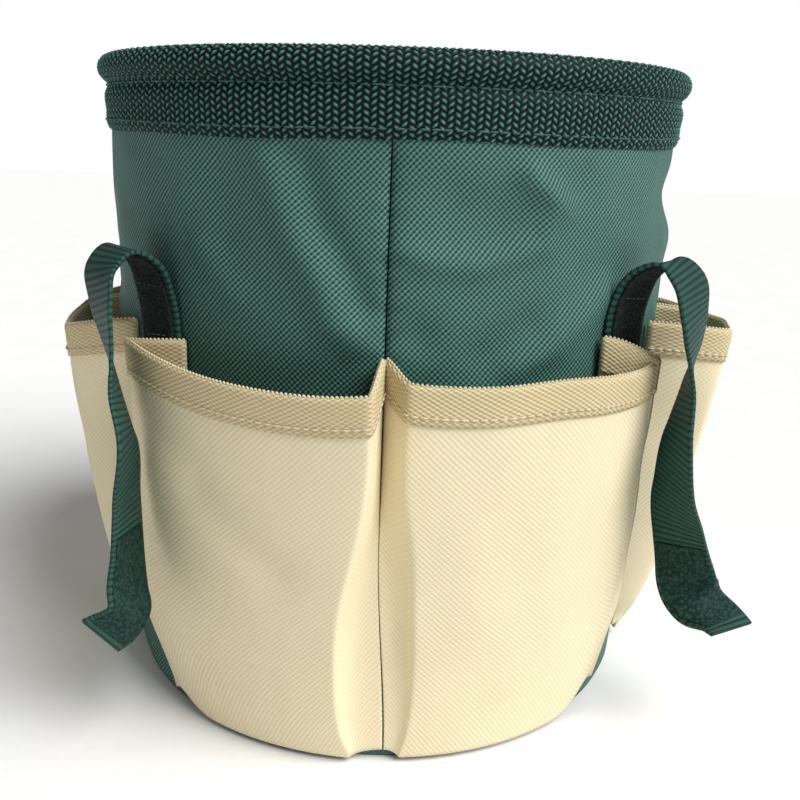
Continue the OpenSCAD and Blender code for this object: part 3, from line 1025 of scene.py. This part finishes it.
@dataclass
class ToolStrap:
    """One webbing strap: sewn low on the wall, folded over, twisted, and hanging over the pockets.

    bend_start and bend_end are radii and heights at the strap's top fold. They lean down, so that
    no part of the hanging tail counts as before the fold.
    """

    side: str
    angle: float
    stations: tuple[Station, ...]
    width_mm: float = 25.0
    webbing: float = 1.5
    cut_length_mm: float = 255.0
    bend_start: tuple[float, float] = (136.0, 206.0)
    bend_end: tuple[float, float] = (146.0, 205.4)
    samples: int = 720

    def path(self) -> tuple[np.ndarray, np.ndarray, np.ndarray]:
        """The strap's centre line.

        Returns:
            Centres, unit width directions, and unit directions out of the strap's inner side.
        """
        centres = np.array([s.centre() for s in self.stations])
        widths = np.array([s.width() for s in self.stations])
        chord = np.concatenate([[0], np.cumsum(np.linalg.norm(np.diff(centres, axis=0), axis=1) ** 0.8)])
        at = np.linspace(0, chord[-1], self.samples)
        line, across = (
            np.stack([smooth(tuple(zip(chord, x[:, k])), at) for k in range(3)], 1) for x in (centres, widths)
        )
        even = np.linspace(0, lengths(line)[-1], self.samples)
        travelled = lengths(line)
        line, across = (
            np.stack([np.interp(even, travelled, x[:, k]) for k in range(3)], 1) for x in (line, across)
        )
        kernel = np.hanning(25)
        kernel /= kernel.sum()
        for array in (line, across):
            padded = np.concatenate([2 * array[:1] - array[12:0:-1], array, 2 * array[-1:] - array[-2:-14:-1]])
            array[:] = np.stack([np.convolve(padded[:, k], kernel, "valid") for k in range(3)], 1)
        along = np.gradient(line, axis=0)
        along /= np.linalg.norm(along, axis=1, keepdims=True)
        across -= along * np.sum(across * along, axis=1, keepdims=True)
        across /= np.linalg.norm(across, axis=1, keepdims=True)
        return line, across, np.cross(across, along)

    def ribbon(self, start: float, end: float, wide: float, lift: float, relief: float, seed: int) -> Surface:
        """A strip of the strap, or of a patch on its inner side.

        Args:
            start: where it starts, in millimetres along the strap.
            end: where it ends.
            wide: its width.
            lift: how far it lies off the strap's middle, towards the inner side.
            relief: the height of its ribs or pile.
            seed: which pile, or 0 for ribs.

        Returns:
            The strip.
        """
        line, across, inner = self.path()
        travelled = lengths(line)
        keep = (travelled >= start) & (travelled <= end)
        line, across, inner, travelled = line[keep], across[keep], inner[keep], travelled[keep]
        share = np.linspace(-0.5, 0.5, 15)
        if seed:
            rng = np.random.default_rng(seed)
            bump = rng.uniform(-1, 1, (len(line), len(share)))
        else:
            bump = np.abs(np.sin(np.pi * travelled / STRAP_WEBBING.rib_mm))[:, None] * np.ones(len(share))
        offset = lift + relief * bump * (1 - np.abs(2 * share) ** 6)
        points = line[:, None] + across[:, None] * (share * wide)[None, :, None] + inner[:, None] * offset[..., None]
        return Surface(points[:, ::-1], (share[::-1] * wide)[None, :], travelled[:, None])

    def blend(self, piece: bpy.types.Object, slot: str, *nodes: str) -> None:
        """Works out where the strap's top fold starts and ends, bakes the piece's place into its mesh, and hides the
        CAD nodes that it stands for.

        Args:
            piece: the new piece.
            slot: the record's material slot; not used.
            nodes: the CAD nodes that it stands for.
        """
        start, end = (polar(self.angle, r, z) * MM for r, z in (self.bend_start, self.bend_end))
        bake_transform(piece)
        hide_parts(*nodes)
        LOG.info("%s bends between the bag and strap_%s", piece.name, self.side)

    def build(self) -> None:
        """Builds the webbing, the loop and hook patches, and their stitches."""
        line, across, inner = self.path()
        total = float(lengths(line)[-1])
        LOG.info("strap_%s is %.0f mm long", self.side, total)
        webbing = self.ribbon(0, total, self.width_mm, 0, 0.2, 0).piece(
            f"strap_{self.side}_webbing", STRAP_WEBBING, self.webbing, 0
        )
        self.blend(webbing, "strap_webbing", f"strap_{self.side}_root", f"strap_{self.side}_tail")
        pile_start = 26.0
        pile = self.ribbon(pile_start, pile_start + 48, 19.5, 1.4, 0.3, 31).piece(
            f"strap_{self.side}_loop_pile", LOOP_PILE, 1.0, 0
        )
        self.blend(pile, "loop_pile", f"loop_patch_{self.side}")
        seams = ((pile_start + 2.5, "low"), (pile_start + 23, "high"))
        for at, name in seams:
            here = int(np.argmin(np.abs(lengths(line) - at)))
            across_line = line[here] + across[here] * np.linspace(-8, 8, 9)[:, None] + inner[here] * 2.1
            thread = Stitches(length=2.2, gap=1.2, radius=0.35).piece(
                f"strap_{self.side}_root_stitches_{name}", across_line, np.tile(inner[here], (9, 1)), GREEN_THREAD
            )
            settle(thread, "strap_webbing")
        hooks = self.ribbon(total - 46, total - 4, 21.5, 1.0, 0.15, 41).piece(
            f"strap_{self.side}_hooks", HOOK_TAPE, 0.9, 0
        )
        settle(hooks, "hook_tape", f"hook_patch_{self.side}", body=f"strap_{self.side}")


def straps() -> list[ToolStrap]:
    """The two straps, at either side of the front pockets."""
    return [
        ToolStrap(
            "left", -44,
            (
                Station(-43, 127.9, 142, -42), Station(-43, 127.9, 165, -42), Station(-44, 128.9, 187, -42),
                Station(-44.2, 133.5, 199.5, -45), Station(-44.8, 142, 204.5, -50), Station(-44.9, 149.5, 198, -51),
                Station(-43.8, 152, 186, -56, 3), Station(-42.2, 152.5, 170, -67, 9),
                Station(-41.3, 152.5, 154, -80, 12), Station(-39, 152.5, 135, -87, 18),
                Station(-40, 152, 110, -95, 18), Station(-39.4, 154, 88, -103, 23),
                Station(-38.2, 157, 76, -112, 26), Station(-37.3, 158.5, 68.5, -117, 34),
                Station(-38.0, 162.5, 62.5, -118, 52), Station(-39.5, 168.0, 58, -117, 60),
            ),
        ),
        ToolStrap(
            "right", 49,
            (
                Station(47.5, 127.9, 142, 44), Station(47.5, 127.9, 165, 43), Station(47.5, 128.9, 189, 42),
                Station(48.2, 133.5, 200, 44), Station(49.2, 142, 204.8, 47), Station(49.9, 149.5, 198.5, 46),
                Station(50.6, 152.5, 186.5, 51, -4), Station(51.6, 153.2, 173, 61, -9),
                Station(51.5, 153, 158, 80, -14), Station(50, 153, 136, 96, -18),
                Station(51.3, 153, 113, 106, -17), Station(54, 154.5, 93, 123, -22),
                Station(54.8, 158.5, 77, 140, -20), Station(55.8, 161.5, 65.5, 168, -15),
                Station(56.2, 167, 60, 198, -12), Station(56, 174.3, 57.3, 224, -9),
                Station(55.1, 181, 55, 242, -6),
            ),
        ),
    ]


# --- Studio ----------------------------------------------------------------


@dataclass
class Studio:
    """Pale floor, one soft key light, and the camera in front of the bag, a little above its middle."""

    camera_place: tuple[float, float, float] = (0.0, -0.4329, 0.25025)
    look_down: float = 0.296
    roll: float = 0.034
    lens_mm: float = 40.1
    shift: float = 0.0205
    key_angle: float = 58.0
    key_height: float = 48.0
    key_strength: float = 3.6
    key_softness: float = 40.0
    ambient: float = 0.24

    def build(self) -> None:
        """Adds the camera, the key light, the surrounding light and the floor."""
        scene = bpy.context.scene
        lens = bpy.data.cameras.new("camera")
        lens.lens, lens.sensor_width, lens.shift_x = self.lens_mm, 36.0, self.shift
        lens.clip_start = 0.01
        camera = bpy.data.objects.new("camera", lens)
        camera.matrix_world = (
            Matrix.Translation(self.camera_place)
            @ Matrix.Rotation(math.pi / 2 - self.look_down, 4, "X")
            @ Matrix.Rotation(self.roll, 4, "Z")
        )
        scene.collection.objects.link(camera)
        scene.camera = camera
        sun = bpy.data.lights.new("key light", "SUN")
        sun.energy, sun.angle = self.key_strength, math.radians(self.key_softness)
        lamp = bpy.data.objects.new("key light", sun)
        lamp.rotation_euler = (math.radians(90 - self.key_height), 0, math.radians(self.key_angle))
        scene.collection.objects.link(lamp)
        world = bpy.data.worlds.new("studio")
        world.use_nodes = True
        tree = world.node_tree
        tree.nodes.clear()
        ray = add(tree, "LightPath")
        dim = add(tree, "Background", {"Color": linear("#ffffff"), "Strength": self.ambient})
        bright = add(tree, "Background", {"Color": linear("#ffffff"), "Strength": 1.0})
        both = add(tree, "MixShader", {0: ray.outputs["Is Camera Ray"], 1: dim, 2: bright})
        add(tree, "OutputWorld", {"Surface": both})
        scene.world = world
        scene.view_settings.view_transform = "Standard"
        side = np.linspace(-4000, 4000, 9)
        points = np.stack(np.broadcast_arrays(side[:, None], side[None, :], -0.05), -1)
        floor = Surface(points, side[:, None], side[None, :]).piece("studio_floor", FLOOR)


def main() -> None:
    """Builds the studio and then the bag, sub-assembly by sub-assembly."""
    logging.basicConfig(level=logging.INFO, format="%(name)s: %(message)s")
    Studio().build()
    body = BagBody()
    body.build()
    for pocket in pockets():
        pocket.build(body)
    for strap in straps():
        strap.build()


if __name__ == "__main__":
    main()
